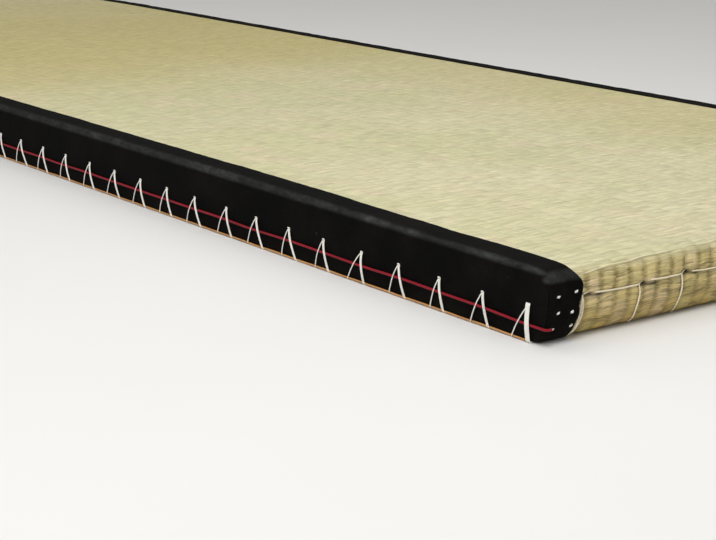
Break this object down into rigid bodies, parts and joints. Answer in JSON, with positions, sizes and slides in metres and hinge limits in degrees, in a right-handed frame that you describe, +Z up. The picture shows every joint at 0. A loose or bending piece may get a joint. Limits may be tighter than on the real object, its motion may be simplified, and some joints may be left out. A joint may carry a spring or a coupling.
{
  "type": "tatami mat",
  "caption": "Rectangular tatami floor mat: a stiff straw mat in a woven rush cover, black cotton bindings on its long sides, with sewn cords along them.",
  "frame": {"origin": "middle of the underside, where the mat rests", "axes": "+X along the mat, +Y across it from one bound long side to the other, +Z up"},
  "size_m": [2.0022, 0.7046, 0.0558],
  "materials": {
    "rush": "dry woven rush, faintly glossy along the strands",
    "black_cotton": "matte plain-weave cotton",
    "red_cord": "twisted cord",
    "tan_cord": "twisted cord",
    "pale_thread": "twisted cotton sewing thread"
  },
  "bodies": {
    "root": {"mat_body": "rush", "binding_front": "black_cotton", "binding_back": "black_cotton", "red_cord_front": "red_cord", "red_cord_back": "red_cord", "edge_cord_front": "tan_cord", "edge_cord_back": "tan_cord"}
  },
  "joints": []
}
